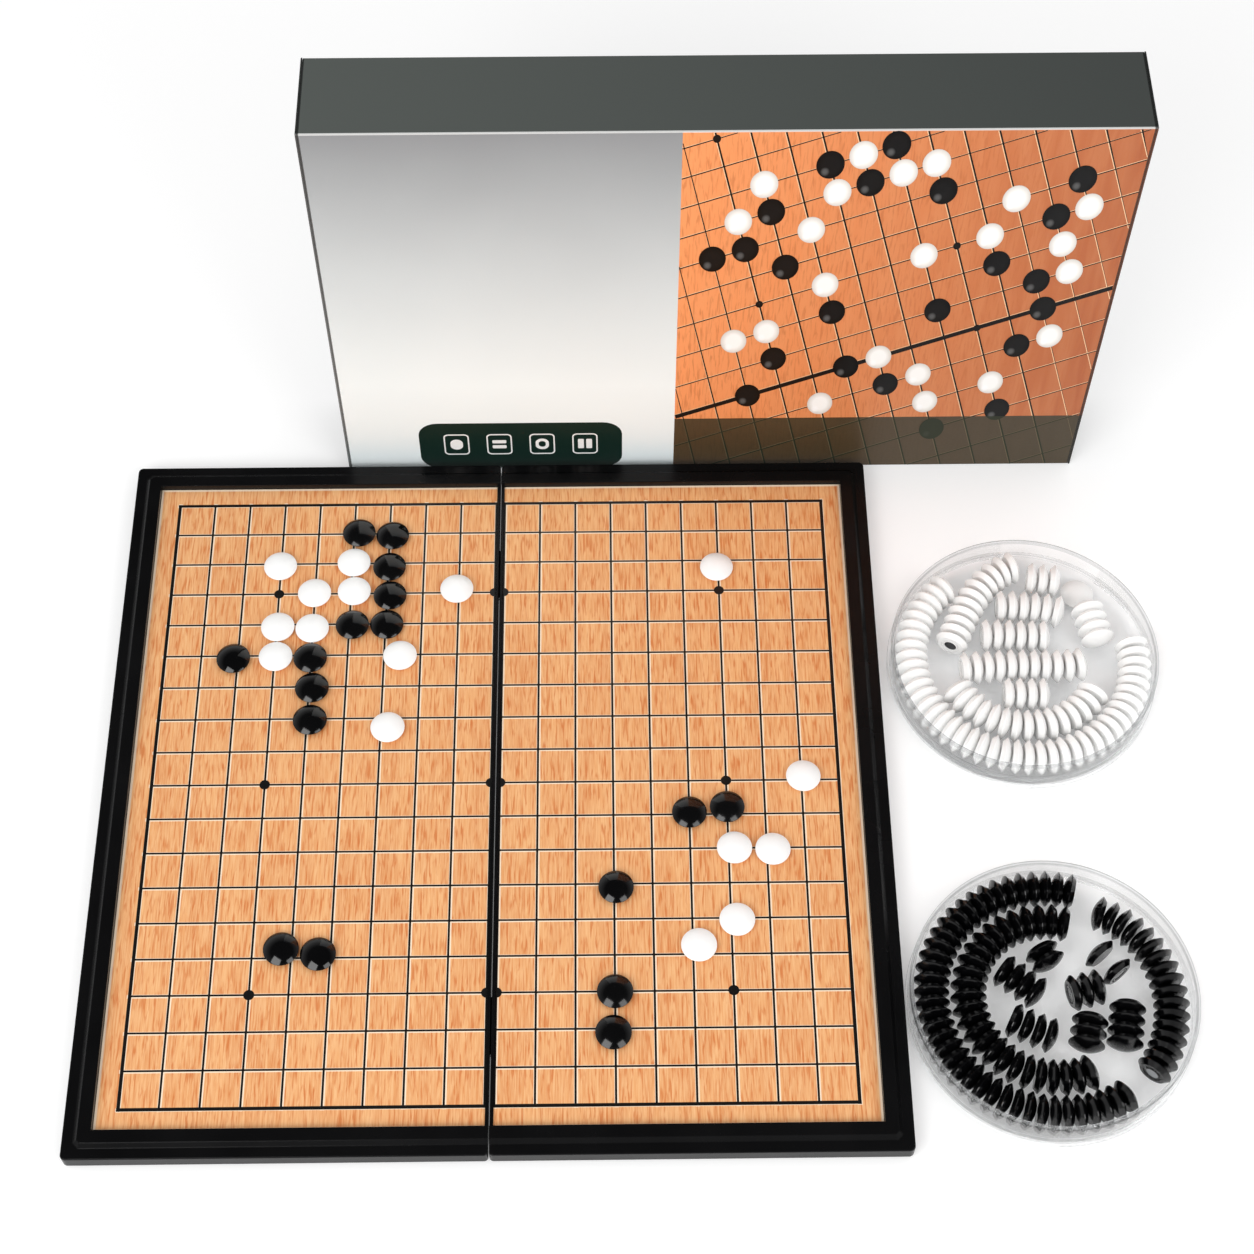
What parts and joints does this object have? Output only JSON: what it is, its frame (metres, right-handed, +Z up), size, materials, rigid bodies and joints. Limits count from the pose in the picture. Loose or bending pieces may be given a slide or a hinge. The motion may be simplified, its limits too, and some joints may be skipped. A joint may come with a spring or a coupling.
{
  "type": "folding go set",
  "caption": "Hinged magnetic board with a printed grid and a game laid out, two clear round dishes of spare stones on their lids, and a card carton behind.",
  "frame": {"origin": "middle of the whole set's footprint, on the table", "axes": "+X along the board's width towards the dishes, +Y away from the player towards the carton, +Z up"},
  "size_m": [0.5116, 0.421, 0.25],
  "materials": {
    "case_plastic": "satin moulded black",
    "steel": "plain",
    "wood_print": "printed wood grain, satin",
    "grid_ink": "printed",
    "foot_rubber": "matte",
    "clear_plastic": "clear, polished",
    "carton_card": "printed card, satin",
    "carton_flap_card": "printed card, satin",
    "black_stone": "polished",
    "white_stone": "polished"
  },
  "bodies": {
    "right_half": {"right_case": "case_plastic", "right_steel_sheet": "steel", "right_play_face": "wood_print", "right_grid_print": "grid_ink", "right_feet": "foot_rubber", "hinge_pins": "steel"},
    "left_half": {"left_case": "case_plastic", "left_steel_sheet": "steel", "left_play_face": "wood_print", "left_grid_print": "grid_ink", "left_feet": "foot_rubber"},
    "black_stone_left_01": {"black_stone_left_01": "black_stone"},
    "black_stone_left_02": {"black_stone_left_02": "black_stone"},
    "black_stone_left_03": {"black_stone_left_03": "black_stone"},
    "black_stone_left_04": {"black_stone_left_04": "black_stone"},
    "black_stone_left_05": {"black_stone_left_05": "black_stone"},
    "black_stone_left_06": {"black_stone_left_06": "black_stone"},
    "black_stone_left_07": {"black_stone_left_07": "black_stone"},
    "black_stone_left_08": {"black_stone_left_08": "black_stone"},
    "black_stone_left_09": {"black_stone_left_09": "black_stone"},
    "black_stone_left_10": {"black_stone_left_10": "black_stone"},
    "black_stone_left_11": {"black_stone_left_11": "black_stone"},
    "black_stone_left_12": {"black_stone_left_12": "black_stone"},
    "black_stone_right_01": {"black_stone_right_01": "black_stone"},
    "black_stone_right_02": {"black_stone_right_02": "black_stone"},
    "black_stone_right_03": {"black_stone_right_03": "black_stone"},
    "black_stone_right_04": {"black_stone_right_04": "black_stone"},
    "black_stone_right_05": {"black_stone_right_05": "black_stone"},
    "white_stone_left_01": {"white_stone_left_01": "white_stone"},
    "white_stone_left_02": {"white_stone_left_02": "white_stone"},
    "white_stone_left_03": {"white_stone_left_03": "white_stone"},
    "white_stone_left_04": {"white_stone_left_04": "white_stone"},
    "white_stone_left_05": {"white_stone_left_05": "white_stone"},
    "white_stone_left_06": {"white_stone_left_06": "white_stone"},
    "white_stone_left_07": {"white_stone_left_07": "white_stone"},
    "white_stone_left_08": {"white_stone_left_08": "white_stone"},
    "white_stone_left_09": {"white_stone_left_09": "white_stone"},
    "white_stone_left_10": {"white_stone_left_10": "white_stone"},
    "white_stone_right_01": {"white_stone_right_01": "white_stone"},
    "white_stone_right_02": {"white_stone_right_02": "white_stone"},
    "white_stone_right_03": {"white_stone_right_03": "white_stone"},
    "white_stone_right_04": {"white_stone_right_04": "white_stone"},
    "white_stone_right_05": {"white_stone_right_05": "white_stone"},
    "white_stone_right_06": {"white_stone_right_06": "white_stone"},
    "white_lid_body": {"white_dish_lid": "clear_plastic"},
    "white_dish_body": {"white_dish": "clear_plastic"},
    "white_outer_row": {"white_outer_row": "white_stone"},
    "white_second_row": {"white_second_row": "white_stone"},
    "white_inner_rows": {"white_inner_rows": "white_stone"},
    "white_near_row": {"white_near_row": "white_stone"},
    "white_loose_stone": {"white_loose_stone": "white_stone"},
    "black_lid_body": {"black_dish_lid": "clear_plastic"},
    "black_dish_body": {"black_dish": "clear_plastic"},
    "black_outer_row": {"black_outer_row": "black_stone"},
    "black_second_row": {"black_second_row": "black_stone"},
    "black_left_row": {"black_left_row": "black_stone"},
    "black_inner_rows": {"black_inner_rows": "black_stone"},
    "carton": {"carton_body": "carton_card"},
    "carton_right_flap_body": {"carton_right_flap": "carton_flap_card"},
    "carton_left_flap_body": {"carton_left_flap": "carton_flap_card"}
  },
  "joints": [
    {"name": "board_fold", "type": "hinge", "parent": "right_half", "child": "left_half", "pos_m": [-0.06835, -0.0253, 0.00185], "axis": [0, -1, 0], "range_deg": [0, 180]},
    {"name": "black_stone_left_01_lift", "type": "slide", "parent": "left_half", "child": "black_stone_left_01", "axis": [0, 0, 1], "range_m": [0, 0.03]},
    {"name": "black_stone_left_02_lift", "type": "slide", "parent": "left_half", "child": "black_stone_left_02", "axis": [0, 0, 1], "range_m": [0, 0.03]},
    {"name": "black_stone_left_03_lift", "type": "slide", "parent": "left_half", "child": "black_stone_left_03", "axis": [0, 0, 1], "range_m": [0, 0.03]},
    {"name": "black_stone_left_04_lift", "type": "slide", "parent": "left_half", "child": "black_stone_left_04", "axis": [0, 0, 1], "range_m": [0, 0.03]},
    {"name": "black_stone_left_05_lift", "type": "slide", "parent": "left_half", "child": "black_stone_left_05", "axis": [0, 0, 1], "range_m": [0, 0.03]},
    {"name": "black_stone_left_06_lift", "type": "slide", "parent": "left_half", "child": "black_stone_left_06", "axis": [0, 0, 1], "range_m": [0, 0.03]},
    {"name": "black_stone_left_07_lift", "type": "slide", "parent": "left_half", "child": "black_stone_left_07", "axis": [0, 0, 1], "range_m": [0, 0.03]},
    {"name": "black_stone_left_08_lift", "type": "slide", "parent": "left_half", "child": "black_stone_left_08", "axis": [0, 0, 1], "range_m": [0, 0.03]},
    {"name": "black_stone_left_09_lift", "type": "slide", "parent": "left_half", "child": "black_stone_left_09", "axis": [0, 0, 1], "range_m": [0, 0.03]},
    {"name": "black_stone_left_10_lift", "type": "slide", "parent": "left_half", "child": "black_stone_left_10", "axis": [0, 0, 1], "range_m": [0, 0.03]},
    {"name": "black_stone_left_11_lift", "type": "slide", "parent": "left_half", "child": "black_stone_left_11", "axis": [0, 0, 1], "range_m": [0, 0.03]},
    {"name": "black_stone_left_12_lift", "type": "slide", "parent": "left_half", "child": "black_stone_left_12", "axis": [0, 0, 1], "range_m": [0, 0.03]},
    {"name": "black_stone_right_01_lift", "type": "slide", "parent": "right_half", "child": "black_stone_right_01", "axis": [0, 0, 1], "range_m": [0, 0.03]},
    {"name": "black_stone_right_02_lift", "type": "slide", "parent": "right_half", "child": "black_stone_right_02", "axis": [0, 0, 1], "range_m": [0, 0.03]},
    {"name": "black_stone_right_03_lift", "type": "slide", "parent": "right_half", "child": "black_stone_right_03", "axis": [0, 0, 1], "range_m": [0, 0.03]},
    {"name": "black_stone_right_04_lift", "type": "slide", "parent": "right_half", "child": "black_stone_right_04", "axis": [0, 0, 1], "range_m": [0, 0.03]},
    {"name": "black_stone_right_05_lift", "type": "slide", "parent": "right_half", "child": "black_stone_right_05", "axis": [0, 0, 1], "range_m": [0, 0.03]},
    {"name": "white_stone_left_01_lift", "type": "slide", "parent": "left_half", "child": "white_stone_left_01", "axis": [0, 0, 1], "range_m": [0, 0.03]},
    {"name": "white_stone_left_02_lift", "type": "slide", "parent": "left_half", "child": "white_stone_left_02", "axis": [0, 0, 1], "range_m": [0, 0.03]},
    {"name": "white_stone_left_03_lift", "type": "slide", "parent": "left_half", "child": "white_stone_left_03", "axis": [0, 0, 1], "range_m": [0, 0.03]},
    {"name": "white_stone_left_04_lift", "type": "slide", "parent": "left_half", "child": "white_stone_left_04", "axis": [0, 0, 1], "range_m": [0, 0.03]},
    {"name": "white_stone_left_05_lift", "type": "slide", "parent": "left_half", "child": "white_stone_left_05", "axis": [0, 0, 1], "range_m": [0, 0.03]},
    {"name": "white_stone_left_06_lift", "type": "slide", "parent": "left_half", "child": "white_stone_left_06", "axis": [0, 0, 1], "range_m": [0, 0.03]},
    {"name": "white_stone_left_07_lift", "type": "slide", "parent": "left_half", "child": "white_stone_left_07", "axis": [0, 0, 1], "range_m": [0, 0.03]},
    {"name": "white_stone_left_08_lift", "type": "slide", "parent": "left_half", "child": "white_stone_left_08", "axis": [0, 0, 1], "range_m": [0, 0.03]},
    {"name": "white_stone_left_09_lift", "type": "slide", "parent": "left_half", "child": "white_stone_left_09", "axis": [0, 0, 1], "range_m": [0, 0.03]},
    {"name": "white_stone_left_10_lift", "type": "slide", "parent": "left_half", "child": "white_stone_left_10", "axis": [0, 0, 1], "range_m": [0, 0.03]},
    {"name": "white_stone_right_01_lift", "type": "slide", "parent": "right_half", "child": "white_stone_right_01", "axis": [0, 0, 1], "range_m": [0, 0.03]},
    {"name": "white_stone_right_02_lift", "type": "slide", "parent": "right_half", "child": "white_stone_right_02", "axis": [0, 0, 1], "range_m": [0, 0.03]},
    {"name": "white_stone_right_03_lift", "type": "slide", "parent": "right_half", "child": "white_stone_right_03", "axis": [0, 0, 1], "range_m": [0, 0.03]},
    {"name": "white_stone_right_04_lift", "type": "slide", "parent": "right_half", "child": "white_stone_right_04", "axis": [0, 0, 1], "range_m": [0, 0.03]},
    {"name": "white_stone_right_05_lift", "type": "slide", "parent": "right_half", "child": "white_stone_right_05", "axis": [0, 0, 1], "range_m": [0, 0.03]},
    {"name": "white_stone_right_06_lift", "type": "slide", "parent": "right_half", "child": "white_stone_right_06", "axis": [0, 0, 1], "range_m": [0, 0.03]},
    {"name": "white_lid_lift", "type": "slide", "parent": "right_half", "child": "white_lid_body", "axis": [0, 0, 1], "range_m": [0, 0.05]},
    {"name": "white_dish_lift", "type": "slide", "parent": "white_lid_body", "child": "white_dish_body", "axis": [0, 0, 1], "range_m": [0, 0.05]},
    {"name": "white_outer_row_lift", "type": "slide", "parent": "white_dish_body", "child": "white_outer_row", "axis": [0, 0, 1], "range_m": [0, 0.04]},
    {"name": "white_second_row_lift", "type": "slide", "parent": "white_dish_body", "child": "white_second_row", "axis": [0, 0, 1], "range_m": [0, 0.04]},
    {"name": "white_inner_rows_lift", "type": "slide", "parent": "white_dish_body", "child": "white_inner_rows", "axis": [0, 0, 1], "range_m": [0, 0.04]},
    {"name": "white_near_row_lift", "type": "slide", "parent": "white_dish_body", "child": "white_near_row", "axis": [0, 0, 1], "range_m": [0, 0.04]},
    {"name": "white_loose_stone_lift", "type": "slide", "parent": "white_dish_body", "child": "white_loose_stone", "axis": [0, 0, 1], "range_m": [0, 0.04]},
    {"name": "black_lid_lift", "type": "slide", "parent": "right_half", "child": "black_lid_body", "axis": [0, 0, 1], "range_m": [0, 0.05]},
    {"name": "black_dish_lift", "type": "slide", "parent": "black_lid_body", "child": "black_dish_body", "axis": [0, 0, 1], "range_m": [0, 0.05]},
    {"name": "black_outer_row_lift", "type": "slide", "parent": "black_dish_body", "child": "black_outer_row", "axis": [0, 0, 1], "range_m": [0, 0.04]},
    {"name": "black_second_row_lift", "type": "slide", "parent": "black_dish_body", "child": "black_second_row", "axis": [0, 0, 1], "range_m": [0, 0.04]},
    {"name": "black_left_row_lift", "type": "slide", "parent": "black_dish_body", "child": "black_left_row", "axis": [0, 0, 1], "range_m": [0, 0.04]},
    {"name": "black_inner_rows_lift", "type": "slide", "parent": "black_dish_body", "child": "black_inner_rows", "axis": [0, 0, 1], "range_m": [0, 0.04]},
    {"name": "carton_lift", "type": "slide", "parent": "right_half", "child": "carton", "axis": [0, 0, 1], "range_m": [0, 0.1]},
    {"name": "carton_right_flap_turn", "type": "hinge", "parent": "carton", "child": "carton_right_flap_body", "pos_m": [0.22765, 0.2101, 0], "axis": [0, 0, 1], "range_deg": [0, 150]},
    {"name": "carton_left_flap_turn", "type": "hinge", "parent": "carton", "child": "carton_left_flap_body", "pos_m": [-0.14755, 0.2101, 0], "axis": [0, 0, -1], "range_deg": [0, 150]}
  ]
}
